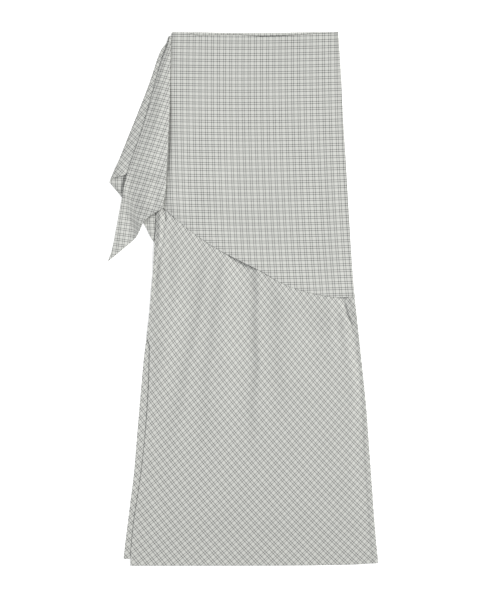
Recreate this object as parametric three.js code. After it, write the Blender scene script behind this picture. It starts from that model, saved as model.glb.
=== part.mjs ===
// A maxi wrap skirt laid flat: bias-cut front and back panels with a slit at the left side, under
// a short overlay whose left end is drawn into a cascade that hangs from one waist corner.
// Millimetres. +X is to the right seen from above, +Y runs to the waist, +Z up off the surface.
// Tables give x across the skirt and "up", the height above the front hem.
import * as THREE from 'three';

// Driving sizes
const LENGTH = 1000; // waist to front hem
const WALL = 1.2; // cloth as laid, with its turned edges
const GAP = 0.3; // clearance between two layers
const LAYER = WALL + GAP;
const SKIRT_STACK = 3 * LAYER; // overlay back, skirt back and skirt front, with the gap over them
const WAIST_STEP = 1; // the skirt's panels end this far below the overlay's at the waist
const SIDE_INSET = 4.5; // the skirt's side seams lie this far inside the overlay's
const INSET_FADE = 24; // length below the overlay's hem over which that inset ends
const HEM_FALL = 80; // length over which the skirt comes down past the overlay's back hem
const HEM_CLEAR = 4; // the skirt stays up for this far past that hem
const SIDE_SLOPE = 0.85; // how steeply the overlay comes down past the skirt's right side
const LEFT_SLOPE = 0.3; // and past its left side, under the cascade
const LEFT_REACH = 5; // where it first stays up for this far
const PUFF = 2.6; // how far the front panel stands off the back panel between its folds
const PUFF_UNDER = 70; // it starts this far above the overlay's hem, which it lifts
const PUFF_FADE = 50; // and is full this far below that hem
const PUFF_FOOT = 120; // it ends over this length at the skirt's own hem
const PUFF_SIDE = 26; // and over this width at the side edges
const FOLD_FADE = 0.6; // share of a trough's length over which it fades out at its foot
const DRAPE_SLOPE = 0.2; // how steeply the cascade comes down past what lies under it
const DRAPE_REACH = 3; // the cascade stays up for this far past a side edge
const DRAPE_HEM_REACH = 18; // and past a hem
const DRAPE_CLEAR = 0.5; // clearance under the cascade
const INNER_START = 988; // height at which the cascade's inner layer starts, just under the waist
const INNER_SHORT = 3; // the inner layer stops this far from the overlay's hidden edge
const INNER_INSET = 0.4; // and starts this far inside the outer fold
const TOP_START = 985; // height at which its top layer starts
const FOLD_TOP = 0.8; // mid-line radius of the cascade's right fold at the waist
const FOLD_HEM = 2.2; // and at its hem
const TURN_SHARE = 0.3; // share of the cascade's width that is turned under at that fold
const TURN_FALL = 0.3; // share of its width over which it comes down past the turned part
const TIP_SWELL = 2.4; // how far the cascade's hanging tip stands off, past a soft valley
const TIP_SHARE = 0.24; // share of the cascade's width at the middle of that swell
const TIP_SPREAD = 0.22; // and its half width

const CLOTH_COLOUR = 0xc1c2bd;
const ROUGHNESS = 0.85;

// Outline of the skirt, a row for each height: the back panel's left edge, the front panel's left
// edge, which is the slit below 410, and the right side seam.
const SKIRT_EDGES = table(['up', 'backLeft', 'frontLeft', 'right'], [
  [1000, -132, -131, 178.1],
  [947, -139, -138, 181.8],
  [840, -153, -152, 187.8],
  [690, -162, -161, 196.8],
  [606, -164.6, -164.6, 201.6],
  [554, -167.4, -167.4, 205],
  [509, -171.2, -171.2, 208.3],
  [464, -174.9, -174.9, 213.7],
  [430, -179, -178.5, 217.4],
  [410, -181.8, -173.5, 219.6],
  [385, -184.8, -174, 222.3],
  [338, -189, -175.3, 227.2],
  [292, -193, -178.1, 231.6],
  [239, -197.4, -182.3, 235.3],
  [172, -203, -189.7, 239.9],
  [127, -208.6, -196.4, 243.1],
  [82, -214.2, -203.3, 246.3],
  [45, -218.8, -207, 249.4],
  [12, -222.5, -209.4, 252.9],
  [0, -223.8, -209, 254],
]);

// Hidden left edge of the overlay's front, over the back.
const OVERLAY_LEFT = table(['up', 'x'], [
  [1000, -130.5],
  [947, -143],
  [840, -162],
  [690, -173],
]);

// Outer fold of the cascade, where the overlay's back turns over to the front.
const OUTER_FOLD = table(['up', 'x'], [
  [1000, -131],
  [994, -131.8],
  [966, -152.4],
  [947, -160],
  [913, -171],
  [868, -188],
  [812, -210.5],
  [756, -233],
  [722, -247.9],
  [718, -249.3],
]);

// The cascade's top layer, a row for each height: its left edge and the fold at its right.
const CASCADE_EDGES = table(['up', 'left', 'right'], [
  [990, -136, -133.7],
  [975, -139.3, -134],
  [953, -147.9, -134.4],
  [925, -157.3, -134.9],
  [876, -170.2, -135.6],
  [821, -185.2, -137.5],
  [778, -200, -139.3],
  [735, -214.5, -141.8],
  [704, -222.3, -143.1],
  [668, -229.4, -148.7],
  [633, -236, -151],
  [598, -242.6, -154],
  [584, -246.6, -155],
  [569, -252.6, -156],
]);

// Waist and hem lines, a row for each place across.
const WAIST_BACK = table(['x', 'up'], [
  [-132, 1000],
  [20, 997.5],
  [178, 1000],
]);
const WAIST_FRONT = table(['x', 'up'], [
  [-130, 997.6],
  [-98, 998.2],
  [-84, 992],
  [-14, 993],
  [42, 990],
  [108, 993],
  [173, 999],
]);
const OVERLAY_FRONT_HEM = table(['x', 'up'], [
  [-173, 690],
  [-143, 666],
  [-103, 631.5],
  [-52, 596],
  [-1.5, 569.5],
  [36.7, 550.5],
  [79.8, 526],
  [130, 510.5],
  [180, 502.6],
  [210, 504],
]);
const OVERLAY_BACK_HEM = table(['x', 'up'], [
  [-249.3, 718.5],
  [-225.5, 690.4],
  [-186.1, 643.6],
  [-165.5, 606.2],
  [-120, 575],
  [-40, 545],
  [60, 520],
  [140, 508],
  [210, 502.5],
]);
const SKIRT_BACK_HEM = table(['x', 'up'], [
  [-223, 12.7],
  [253, 7],
]);
const SKIRT_FRONT_HEM = table(['x', 'up'], [
  [-209, 0.2],
  [42, 0.4],
  [200, 2.2],
  [253.5, 5.4],
]);
const INNER_HEM = table(['x', 'up'], [
  [-249, 720],
  [-242.3, 726],
  [-221.7, 731],
  [-174, 745],
]);
const TOP_HEM = table(['x', 'up'], [
  [-252.6, 569.6],
  [-219.8, 596.8],
  [-197.4, 617.4],
  [-189.9, 632.4],
  [-184, 645],
  [-163.7, 660.5],
  [-148.7, 668],
]);

// Troughs of the front panel, each from the overlay's hem down along its path of (x, up) points.
const FRONT_FOLDS = [
  { name: 'outer left', path: [[-132, 638], [-132, 520]], halfWidth: 12, depth: 0.6 },
  { name: 'long left', path: [[-61, 601], [-89, 460], [-132, 263], [-158, 150]], halfWidth: 24, depth: 0.7 },
  { name: 'short left', path: [[-42, 580], [-68, 404], [-74, 263]], halfWidth: 18, depth: 0.4 },
  { name: 'centre', path: [[24, 560], [25, 404], [22, 310], [5, 200]], halfWidth: 24, depth: 0.95 },
  { name: 'right of centre', path: [[61, 540], [76, 404], [80, 270]], halfWidth: 20, depth: 0.7 },
  { name: 'right', path: [[145, 510], [155, 380]], halfWidth: 20, depth: 0.4 },
  { name: 'side', path: [[192, 510], [205, 450], [213, 357], [219, 280]], halfWidth: 16, depth: 0.9 },
].map((fold) => ({ ...fold, xAt: curveOf(table(['x', 'up'], fold.path), 'up', 'x') }));

/** Rows of numbers as objects with named columns. */
function table(names, rows) {
  return rows.map((row) => Object.fromEntries(names.map((name, i) => [name, row[i]])));
}

/** A smooth curve through one column of a table, as a function of another, straight past its ends. */
function curveOf(rows, key, value) {
  const points = rows.map((row) => ({ at: row[key], y: row[value] })).sort((a, b) => a.at - b.at);
  const slopes = points.slice(1).map((p, i) => (p.y - points[i].y) / (p.at - points[i].at));
  const last = points.length - 1;
  const tangents = points.map((_, i) => {
    if (i === 0 || i === last) return slopes[i === 0 ? 0 : last - 1];
    const [before, after] = [slopes[i - 1], slopes[i]];
    return before * after > 0 ? (2 * before * after) / (before + after) : 0;
  });
  return (at) => {
    if (at <= points[0].at) return points[0].y + tangents[0] * (at - points[0].at);
    if (at >= points[last].at) return points[last].y + tangents[last] * (at - points[last].at);
    const i = points.findIndex((p, k) => k < last && at <= points[k + 1].at);
    const span = points[i + 1].at - points[i].at;
    const t = (at - points[i].at) / span;
    const bulge = (tangents[i] * (1 - t) - tangents[i + 1] * t) * span;
    const turn = (1 - 2 * t) * (points[i].y - points[i + 1].y);
    return lerp(points[i].y, points[i + 1].y, t) + t * (1 - t) * (turn + bulge);
  };
}

function lerp(a, b, t) {
  return a + (b - a) * t;
}

/** Goes smoothly from 0 at `from` to 1 at `to`. */
function ease(value, from, to) {
  const t = THREE.MathUtils.clamp((value - from) / (to - from), 0, 1);
  return t * t * (3 - 2 * t);
}

/** Evenly spaced numbers from `from` to `to`, both included. */
function steps(from, to, count) {
  return Array.from({ length: count + 1 }, (_, i) => lerp(from, to, i / count));
}

/** Joins runs of numbers that share their end values. */
function chain(...runs) {
  return runs.flatMap((run, i) => (i === 0 ? run : run.slice(1)));
}

// Edges and lines as functions
const backLeft = curveOf(SKIRT_EDGES, 'up', 'backLeft');
const frontLeft = curveOf(SKIRT_EDGES, 'up', 'frontLeft');
const sideSeam = curveOf(SKIRT_EDGES, 'up', 'right');
const overlayLeft = curveOf(OVERLAY_LEFT, 'up', 'x');
const outerFold = curveOf(OUTER_FOLD, 'up', 'x');
const topLeft = curveOf(CASCADE_EDGES, 'up', 'left');
const topRight = curveOf(CASCADE_EDGES, 'up', 'right');
const waistBack = curveOf(WAIST_BACK, 'x', 'up');
const waistFront = curveOf(WAIST_FRONT, 'x', 'up');
const overlayFrontHem = curveOf(OVERLAY_FRONT_HEM, 'x', 'up');
const overlayBackHem = curveOf(OVERLAY_BACK_HEM, 'x', 'up');
const skirtBackHem = curveOf(SKIRT_BACK_HEM, 'x', 'up');
const skirtFrontHem = curveOf(SKIRT_FRONT_HEM, 'x', 'up');
const innerHem = curveOf(INNER_HEM, 'x', 'up');
const topHem = curveOf(TOP_HEM, 'x', 'up');

/** The inner layer's hidden right edge, just short of the overlay's. */
function innerRight(up) {
  return overlayLeft(up) - INNER_SHORT;
}

/** The skirt's right side seam: inside the overlay's above its hem, then at the outline. */
function skirtRight(up) {
  const hem = overlayFrontHem(sideSeam(up));
  return sideSeam(up) - SIDE_INSET * ease(up, hem - INSET_FADE, hem);
}

// Heights of the layers' undersides over the surface

function skirtBackHeight(x, up) {
  const hem = overlayBackHem(x) - HEM_CLEAR;
  return LAYER * ease(up, hem - HEM_FALL, hem);
}

/** How deep the front panel's troughs are at a place, from 0 to 1 of its stand-off. */
function troughAt(x, up) {
  let deepest = 0;
  for (const { path, xAt, halfWidth, depth } of FRONT_FOLDS) {
    const top = path[0][1];
    const foot = path[path.length - 1][1];
    const across = Math.abs(x - xAt(up)) / halfWidth;
    if (across >= 1 || up > top || up < foot) continue;
    const profile = 0.5 + 0.5 * Math.cos(Math.PI * across);
    deepest = Math.max(deepest, depth * profile * ease(up, foot, lerp(foot, top, FOLD_FADE)));
  }
  return deepest;
}

/** How far the front stands off the back between its troughs, which the overlay bridges. */
function standOff(x, up) {
  const fromOverlay = ease(overlayFrontHem(x) - up, -PUFF_UNDER, PUFF_FADE);
  const fromSides = ease(x - frontLeft(up), 0, PUFF_SIDE) * ease(skirtRight(up) - x, 0, PUFF_SIDE);
  return PUFF * fromOverlay * fromSides * ease(up, 0, PUFF_FOOT);
}

function skirtFrontHeight(x, up) {
  return skirtBackHeight(x, up) + LAYER + standOff(x, up) * (1 - troughAt(x, up));
}

function overlayFrontHeight(x, up) {
  const pastSide = SIDE_SLOPE * (x - skirtRight(up) - 1);
  const pastLeft = LEFT_SLOPE * (backLeft(up) - x - LEFT_REACH);
  return Math.max(SKIRT_STACK + standOff(x, up) - Math.max(pastSide, pastLeft, 0), LAYER);
}

/** Height of what lies under the cascade's top layer, coming down gently past each edge. */
function underTopLayer(x, up) {
  const fall = (pastSide, pastHem) => {
    const past = Math.max(pastSide - DRAPE_REACH, pastHem - DRAPE_HEM_REACH, 0);
    return DRAPE_SLOPE * past;
  };
  const overlayTop = SKIRT_STACK + standOff(x, up) + WALL;
  const onOverlay = overlayTop - fall(overlayLeft(up) - x, overlayFrontHem(x) - up);
  const onInner = LAYER + WALL - fall(x - innerRight(up), innerHem(x) - up);
  const onBack = WALL - fall(outerFold(up) - x, overlayBackHem(x) - up);
  return Math.max(Math.max(onOverlay, onInner, onBack) + DRAPE_CLEAR, 0);
}

/**
 * A panel's places over its four edges: u runs from its left edge to its right one, v from its
 * top line to its hem, which may slant.
 */
function panel({ top, hem, left, right, hemRows }) {
  const share = (x, up) => (x - left(up)) / (right(up) - left(up));
  const hemShares = hemRows.map(({ x }) => ({ u: share(x, hem(x)), up: hem(x) }));
  hemShares[0].u = 0;
  hemShares[hemShares.length - 1].u = 1;
  const hemAt = curveOf(hemShares, 'u', 'up');
  return (u, v) => {
    const start = top(lerp(left(LENGTH), right(LENGTH), u));
    const up = lerp(start, hemAt(u), v);
    return { x: lerp(left(up), right(up), u), up };
  };
}

/** A closed solid between two equal grids of points, the outer one seen from outside. */
function sheetSolid(outer, inner) {
  const rows = outer.length;
  const columns = outer[0].length;
  const points = [...outer.flat(), ...inner.flat()];
  const outerAt = (i, j) => i * columns + j;
  const innerAt = (i, j) => rows * columns + i * columns + j;
  const faces = [];
  const quad = (a, b, c, d) => faces.push(a, b, c, a, c, d);
  for (let i = 0; i + 1 < rows; i += 1) {
    for (let j = 0; j + 1 < columns; j += 1) {
      quad(outerAt(i, j), outerAt(i + 1, j), outerAt(i + 1, j + 1), outerAt(i, j + 1));
      quad(innerAt(i, j), innerAt(i, j + 1), innerAt(i + 1, j + 1), innerAt(i + 1, j));
    }
  }
  for (let i = 0; i + 1 < rows; i += 1) {
    const right = columns - 1;
    quad(outerAt(i, 0), innerAt(i, 0), innerAt(i + 1, 0), outerAt(i + 1, 0));
    quad(outerAt(i + 1, right), innerAt(i + 1, right), innerAt(i, right), outerAt(i, right));
  }
  for (let j = 0; j + 1 < columns; j += 1) {
    const low = rows - 1;
    quad(outerAt(0, j + 1), innerAt(0, j + 1), innerAt(0, j), outerAt(0, j));
    quad(outerAt(low, j), innerAt(low, j), innerAt(low, j + 1), outerAt(low, j + 1));
  }
  const geometry = new THREE.BufferGeometry();
  geometry.setAttribute('position', new THREE.Float32BufferAttribute(points.flatMap((p) => p.toArray()), 3));
  geometry.setIndex(faces);
  geometry.computeVertexNormals();
  return geometry;
}

function clothMesh(name, geometry) {
  const material = new THREE.MeshStandardMaterial({
    name: `${name}_cloth`,
    color: CLOTH_COLOUR,
    roughness: ROUGHNESS,
    metalness: 0,
  });
  const mesh = new THREE.Mesh(geometry, material);
  mesh.name = name;
  return mesh;
}

/** A panel laid at a height over the surface, its wall kept full where it slopes. */
function laidPanel(name, place, height, columns, rows) {
  const underside = rows.map((v) => columns.map((u) => {
    const { x, up } = place(u, v);
    return new THREE.Vector3(x, up - LENGTH / 2, height(x, up));
  }));
  const upper = underside.map((row) => row.map((p) => {
    const up = p.y + LENGTH / 2;
    const slopeX = height(p.x + 0.5, up) - height(p.x - 0.5, up);
    const slopeY = height(p.x, up + 0.5) - height(p.x, up - 0.5);
    const steep = Math.min(Math.hypot(1, slopeX, slopeY), 1.4);
    return new THREE.Vector3(p.x, p.y, p.z + WALL * steep);
  }));
  return clothMesh(name, sheetSolid(upper, underside));
}

function overlayBack() {
  const place = panel({
    top: waistBack,
    hem: overlayBackHem,
    left: outerFold,
    right: sideSeam,
    hemRows: OVERLAY_BACK_HEM,
  });
  return laidPanel('overlay_back', place, () => 0, steps(0, 1, 24), steps(0, 1, 14));
}

function skirtBack() {
  const place = panel({
    top: (x) => waistBack(x) - WAIST_STEP,
    hem: skirtBackHem,
    left: backLeft,
    right: skirtRight,
    hemRows: SKIRT_BACK_HEM,
  });
  const rows = chain(steps(0, 0.32, 4), steps(0.32, 0.6, 14), steps(0.6, 1, 8));
  return laidPanel('skirt_back', place, skirtBackHeight, steps(0, 1, 12), rows);
}

function skirtFront() {
  const place = panel({
    top: (x) => waistFront(x) - WAIST_STEP,
    hem: skirtFrontHem,
    left: frontLeft,
    right: skirtRight,
    hemRows: SKIRT_FRONT_HEM,
  });
  const rows = chain(steps(0, 0.28, 3), steps(0.28, 0.6, 16), steps(0.6, 1, 14));
  return laidPanel('skirt_front', place, skirtFrontHeight, steps(0, 1, 30), rows);
}

function overlayFront() {
  const place = panel({
    top: waistFront,
    hem: overlayFrontHem,
    left: overlayLeft,
    right: sideSeam,
    hemRows: OVERLAY_FRONT_HEM,
  });
  const columns = chain(steps(0, 0.12, 6), steps(0.12, 0.98, 14), steps(0.98, 1, 3));
  const rows = chain(steps(0, 0.6, 5), steps(0.6, 1, 9));
  return laidPanel('overlay_front', place, overlayFrontHeight, columns, rows);
}

function cascadeInner() {
  const place = panel({
    top: () => INNER_START,
    hem: innerHem,
    left: (up) => outerFold(up) + INNER_INSET,
    right: innerRight,
    hemRows: INNER_HEM,
  });
  return laidPanel('cascade_inner', place, () => LAYER, steps(0, 1, 6), steps(0, 1, 12));
}

/** The cascade's top layer: from its left edge to the fold at the right, then back under itself. */
function cascadeTop() {
  const place = panel({
    top: () => TOP_START,
    hem: topHem,
    left: topLeft,
    right: topRight,
    hemRows: TOP_HEM,
  });
  const rows = steps(0, 1, 16);
  const sections = rows.map((v) => cascadeSection(place, v));
  const outer = sections.map((section) => section.map(({ middle, out }) => offset(middle, out, WALL / 2)));
  const inner = sections.map((section) => section.map(({ middle, out }) => offset(middle, out, -WALL / 2)));
  return clothMesh('cascade_top', sheetSolid(outer, inner));
}

function offset(point, direction, distance) {
  return point.clone().addScaledVector(direction, distance);
}

/** How far the tip's soft swell lifts the cascade's top layer. */
function tipSwell(u, v) {
  const across = Math.min(Math.abs(u - TIP_SHARE) / TIP_SPREAD, 1);
  return TIP_SWELL * (0.5 + 0.5 * Math.cos(Math.PI * across)) * ease(v, 0.45, 0.75) * ease(1 - v, 0, 0.15);
}

/** One row of the cascade's top layer, as mid-line points and the way out of the cloth at each. */
function cascadeSection(place, v) {
  const radius = lerp(FOLD_TOP, FOLD_HEM, v);
  const edge = place(1, v);
  const start = place(0, v);
  const across = new THREE.Vector3(edge.x - start.x, edge.up - start.up, 0);
  const room = 1 - radius / across.length();
  across.normalize();
  const middleAt = (u, lift) => {
    const { x, up } = place(u, v);
    const height = underTopLayer(x, up) + WALL / 2 + lift;
    return new THREE.Vector3(x, up - LENGTH / 2, height);
  };
  const turned = 1 - TURN_SHARE;
  const liftAt = (u) => 2 * radius * ease(u, turned - TURN_FALL, turned - 0.02) + tipSwell(u, v);
  const top = steps(0, room, 16).map((u) => ({
    middle: middleAt(u, liftAt(u)),
    out: new THREE.Vector3(0, 0, 1),
  }));
  const centre = middleAt(room, radius);
  const bend = steps(Math.PI / 2, -Math.PI / 2, 6).slice(1, -1).map((angle) => {
    const out = across.clone().multiplyScalar(Math.cos(angle));
    out.z = Math.sin(angle);
    return { middle: offset(centre, out, radius), out };
  });
  const under = steps(room, turned, 4).map((u) => ({
    middle: middleAt(u, 0),
    out: new THREE.Vector3(0, 0, -1),
  }));
  return [...top, ...bend, ...under];
}

const skirt = new THREE.Group();
skirt.add(overlayBack(), skirtBack(), skirtFront(), overlayFront(), cascadeInner(), cascadeTop());

// The origin is under the middle of the laid skirt.
const middle = new THREE.Box3().setFromObject(skirt).getCenter(new THREE.Vector3());
skirt.position.set(-middle.x, -middle.y, 0);

export default skirt;
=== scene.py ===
"""A maxi wrap skirt laid flat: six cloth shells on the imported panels, their hems and stitches.

Tables are in millimetres: x across the skirt, "up" the height above the front hem. World places
are in metres, with +Y running up to the waist and +Z off the surface that the skirt lies on.
"""

import math

import bpy
import numpy as np
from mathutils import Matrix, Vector


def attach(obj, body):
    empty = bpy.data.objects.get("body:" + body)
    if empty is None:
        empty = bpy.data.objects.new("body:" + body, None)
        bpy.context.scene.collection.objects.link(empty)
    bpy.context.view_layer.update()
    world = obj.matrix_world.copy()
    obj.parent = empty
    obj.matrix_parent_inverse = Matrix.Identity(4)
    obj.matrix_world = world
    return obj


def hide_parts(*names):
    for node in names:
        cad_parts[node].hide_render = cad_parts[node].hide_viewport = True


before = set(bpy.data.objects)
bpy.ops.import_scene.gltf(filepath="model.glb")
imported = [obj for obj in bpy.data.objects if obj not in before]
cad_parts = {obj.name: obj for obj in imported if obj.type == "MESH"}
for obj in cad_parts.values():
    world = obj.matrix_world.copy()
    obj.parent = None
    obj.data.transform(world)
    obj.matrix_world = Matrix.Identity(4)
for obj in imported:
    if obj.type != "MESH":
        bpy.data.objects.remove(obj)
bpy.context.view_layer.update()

MM = 0.001
ORIGIN_X = 0.578  # the frame's origin, in the tables' millimetres
ORIGIN_UP = 500.101

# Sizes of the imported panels
LENGTH = 1000  # waist to front hem
WALL = 1.2  # thickness of a panel
GAP = 0.3  # clearance between two layers
LAYER = WALL + GAP
SKIRT_STACK = 3 * LAYER  # height of the overlay's front where it lies on the skirt
WAIST_STEP = 1  # the skirt ends this far below the overlay's waist edge
SIDE_INSET = 4.5  # its side seam lies this far inside the overlay's
INSET_FADE = (1, 12)  # in full only above the second of these heights over the overlay's hem
HEM_FALL = 80  # the skirt's back comes down off the overlay's back over this length
HEM_CLEAR = 4  # from this far below that hem
LEFT_SLOPE = 0.3  # the overlay's front comes down this steeply past the skirt's left edge
LEFT_REACH = 5  # from this far past it
DRAPE_SLOPE = 0.2  # the cascade's top layer comes down this steeply past what it lies on
DRAPE_REACH = 3  # from this far past a side edge
DRAPE_HEM_REACH = 18  # and from this far past a hem
INNER_EASE = 0.45  # it comes down this much more gently past the inner layer's side
DRAPE_SINK = 0.1  # its thin cloth may lie this much lower than a full wall
INNER_START = 992  # top of the cascade's inner layer
INNER_SHORT = 3  # which ends this far short of the overlay's hidden edge
INNER_INSET = 0.4  # and starts this far inside the outer fold
TOP_START = 991  # top of the cascade's top layer
TURN_SHARE = 0.3  # share of its width that is turned under at its right fold

# Sizes of the cloth
CLOTH = 0.5  # thickness between the hems
TURNED = 0.8  # and at a turned hem
HEM_BAND = 6  # width of the turned hems
SEAM_BAND = 9  # width of the seam allowances that show through
STITCH_IN = 1.1  # stitches run this far inside a band's edge
SIDE_WALL = 0.15  # the front layers come down to the back over this width at the right side
SLIT_TOP = (408, 418)  # the left seam ends and the slit begins between these heights
FACING = 30  # width of the back's facing at the waist
FACING_SHIFT = (4.4, 1.6)  # by which its check differs from the overlay's

# How far the skirt's front stands off the back between its folds: two heights, and that at each
PUFF = (200, 390, 2.4, 5.8)
PUFF_HEM = (-80, 40)  # it begins and is full at these distances below the overlay's hem
PUFF_FOOT = 120  # and comes down over this height above the front hem
PUFF_LEFT = (400, 640, 32, 10)  # half of it ends over this width at the left edge
PUFF_ACROSS = (-60, 150)  # and the other half between these distances from it
PUFF_RIGHT = (180, 360, 30, 16)  # it ends over this width beside the right side seam
PUFF_EASING = 0.3  # share of it that goes gradually towards that seam
EASING_ACROSS = (70, 215)  # between these places
EASING_TOP = (430, 480)  # and ends between these heights
FOLD_ROOM = 0.6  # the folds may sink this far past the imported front, and still clear the back

SEAM_IN = (180, 360, 11, 5)  # the side seam's groove lies this far inside it
SEAM_ROLL = 1.8  # the pressed allowances outside the groove stand this high
SEAM_HEIGHTS = (390, 460)  # above these the deep fold at the right takes the groove's place
ROLL_SHARE = (150, 330, 0.4, 1)  # share of that roll at two heights
OVERLAY_ROLL = 0.6  # share of it on the overlay, whose groove lies 6 mm inside its seam

WAIST_LIFT = 2.6  # how far the front layers stand open at the waist edge
WAIST_FADE = (42, 8)  # distances below the waist at which that begins and is full
WAIST_SPAN = (-118, -84, 112, 172)  # and places at which it starts, is full, fades and ends
WAIST_CURL = 3  # how far the back's facing puffs up between its edge and the front's
CURL_SPAN = (-100, -84, 146, 166)
CURL_ROOM = (2.4, 4.4)  # room between those edges at which it starts and is full
CURL_DROP = (2.4, 0.2)  # distances from the front's edge at which it fades and ends
BACK_RISE = 3  # how far the back's corner stands up beside the skirt's left edge
CORNER_RISE = 3.6  # and how far it rises from its own left corner
HEM_SETTLE = 0.9  # the overlay's hem lies this much closer on the skirt
WAVE_HEIGHT = 0.9  # and its front this much higher between its waves
INNER_RISE = 9.2  # how far the cascade's inner layer rises over its run from the outer fold
INNER_RUN = 30
INNER_ARCH = 0.2  # share by which that rise grows less
INNER_HEM = (712, 745, 0.4, 1)  # share of it at two heights beside the hem
INNER_PINCH = 0.9  # how much closer it lies at the fold

# Grid lines, as distances from an edge
HEM_LINES = (0, 0.4, 1.2, 2.6, 4.2, 4.9, 5.5, 6.1, 7, 9)
SEAM_LINES = (0, SIDE_WALL, 0.5, 1.2, 3, 6, 8.6, 9.4, 11)
PLAIN_LINES = (0, 0.4, 1.2, 3)
SLIT_LINES = (10.5, 12, 13.5, 15, 16.5, 18, 19.5, 21, 23)
NOTCH_LINES = (12, 13, 14, 15, 16, 17, 19, 21, 23)
WAIST_LINES = (0, 0.4, 1.2, 2.4, 3.6, 4.8, 6, 7.2, 8.4, 9.6, 12)
FACING_LINES = (0, *(line - WAIST_STEP for line in WAIST_LINES[2:]))  # the same on the next layer


def table(names, rows):
    """Rows of numbers as named columns."""
    return dict(zip(names, np.array(rows, float).T))


def fold(left, right, *path):
    """A fold: the widths of its flanks, and its path of (x, up, depth) points downwards."""
    return {"left": left, "right": right, "path": table(("x", "up", "depth"), path)}


def curve_of(columns, key, value):
    """A smooth curve through one column as a function of another, straight past its ends."""
    order = np.argsort(columns[key])
    at = columns[key][order]
    y = columns[value][order]
    slopes = np.diff(y) / np.diff(at)
    product = slopes[:-1] * slopes[1:]
    total = np.where(product > 0, slopes[:-1] + slopes[1:], 1)
    middle = np.where(product > 0, 2 * product / total, 0)
    tangents = np.concatenate([slopes[:1], middle, slopes[-1:]])

    def curve(place):
        place = np.asarray(place, float)
        i = np.clip(np.searchsorted(at, place, side="right") - 1, 0, len(at) - 2)
        span = at[i + 1] - at[i]
        t = np.clip((place - at[i]) / span, 0, 1)
        bulge = (tangents[i] * (1 - t) - tangents[i + 1] * t) * span
        turn = (1 - 2 * t) * (y[i] - y[i + 1])
        inside = y[i] + (y[i + 1] - y[i]) * t + t * (1 - t) * (turn + bulge)
        before = tangents[0] * np.minimum(place - at[0], 0)
        after = tangents[-1] * np.maximum(place - at[-1], 0)
        return inside + before + after

    return curve


def edge_curve(names, rows):
    """The smooth curve through rows of two numbers, as a function of the first."""
    return curve_of(table(names, rows), *names)


def ease(value, start, end):
    """Goes smoothly from 0 at start to 1 at end."""
    t = np.clip((value - start) / (end - start), 0, 1)
    return t * t * (3 - 2 * t)


def window(value, start, full, fade, end):
    """Comes up from 0 to 1 between two values, and goes back between two others."""
    return ease(value, start, full) * (1 - ease(value, fade, end))


def ramp(value, start, end, first, last):
    """Goes smoothly from first at start to last at end."""
    return first + (last - first) * ease(value, start, end)


SKIRT_EDGES = table(("up", "back_left", "front_left", "right"), [
    (1000, -132, -131, 179.4),
    (947, -139, -138, 183.1),
    (840, -153, -152, 188.6),
    (690, -162, -160.6, 197.6),
    (636, -163.4, -161.6, 200.7),
    (606, -164.6, -164.6, 202.4),
    (554, -167.4, -167.4, 205.9),
    (509, -171.2, -171.2, 209.6),
    (464, -174.9, -174.9, 214.6),
    (430, -179, -178.5, 218.3),
    (410, -181.8, -173.5, 220.5),
    (385, -184.8, -174, 223.2),
    (338, -189, -175.3, 228.1),
    (292, -193, -178.1, 232.5),
    (239, -197.4, -182.3, 236.3),
    (172, -203, -189.7, 241.1),
    (127, -208.6, -196.4, 244.3),
    (82, -214.2, -203.3, 247.5),
    (45, -218.8, -207, 250.6),
    (12, -222.5, -209.4, 253.9),
    (0, -223.8, -209, 254.9),
])
overlay_left = edge_curve(("up", "x"), [(1000, -130.5), (947, -143), (840, -162), (690, -173)])
outer_fold = edge_curve(("up", "x"), [
    (1000, -131), (994, -131.8), (966, -152.4), (947, -160), (913, -171), (868, -188),
    (812, -210.5), (756, -233), (722, -247.9), (718, -249.3),
])
CASCADE_EDGES = table(("up", "left", "right"), [
    (991, -135.6, -133.2),
    (975, -139.3, -134),
    (953, -147.9, -134.4),
    (925, -157.3, -134.9),
    (876, -170.2, -135.6),
    (821, -185.2, -137.5),
    (778, -200, -139.3),
    (735, -214.5, -141.8),
    (704, -222.3, -143.1),
    (668, -229.4, -148.7),
    (633, -236, -151),
    (598, -242.6, -154),
    (584, -246.6, -155),
    (569, -252.6, -156),
])

back_left = curve_of(SKIRT_EDGES, "up", "back_left")
front_left = curve_of(SKIRT_EDGES, "up", "front_left")
side_seam = curve_of(SKIRT_EDGES, "up", "right")
top_left = curve_of(CASCADE_EDGES, "up", "left")
top_right = curve_of(CASCADE_EDGES, "up", "right")

waist_back = edge_curve(("x", "up"), [(-132, 1000), (20, 997.5), (178, 1000)])
waist_front = edge_curve(("x", "up"), [
    (-130, 998), (-111, 998.2), (-98, 994), (-85, 991.2), (-14, 992.6), (42, 990), (108, 993),
    (173, 999),
])
overlay_front_hem = edge_curve(("x", "up"), [
    (-173, 690), (-143, 666), (-103, 631.5), (-52, 596), (-1.5, 569.5), (36.7, 550.5), (79.8, 526),
    (130, 510.5), (180, 502.6), (210, 504),
])
overlay_back_hem = edge_curve(("x", "up"), [
    (-249.3, 718.5), (-225.5, 690.4), (-186.1, 643.6), (-165.5, 606.2), (-120, 575), (-40, 545),
    (60, 520), (140, 508), (210, 502.5),
])
skirt_back_hem = edge_curve(("x", "up"), [(-223, 12.7), (253, 7)])
skirt_front_hem = edge_curve(("x", "up"), [(-209, 0.2), (42, 0.4), (200, 2.2), (253.5, 5.4)])
inner_hem = edge_curve(("x", "up"), [(-249, 720), (-242.3, 726), (-221.7, 731), (-174, 745)])
top_hem = edge_curve(("x", "up"), [
    (-252.6, 569.6), (-219.8, 596.8), (-197.4, 617.4), (-189.9, 632.4), (-184, 645),
    (-163.7, 660.5), (-148.7, 668),
])

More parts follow.
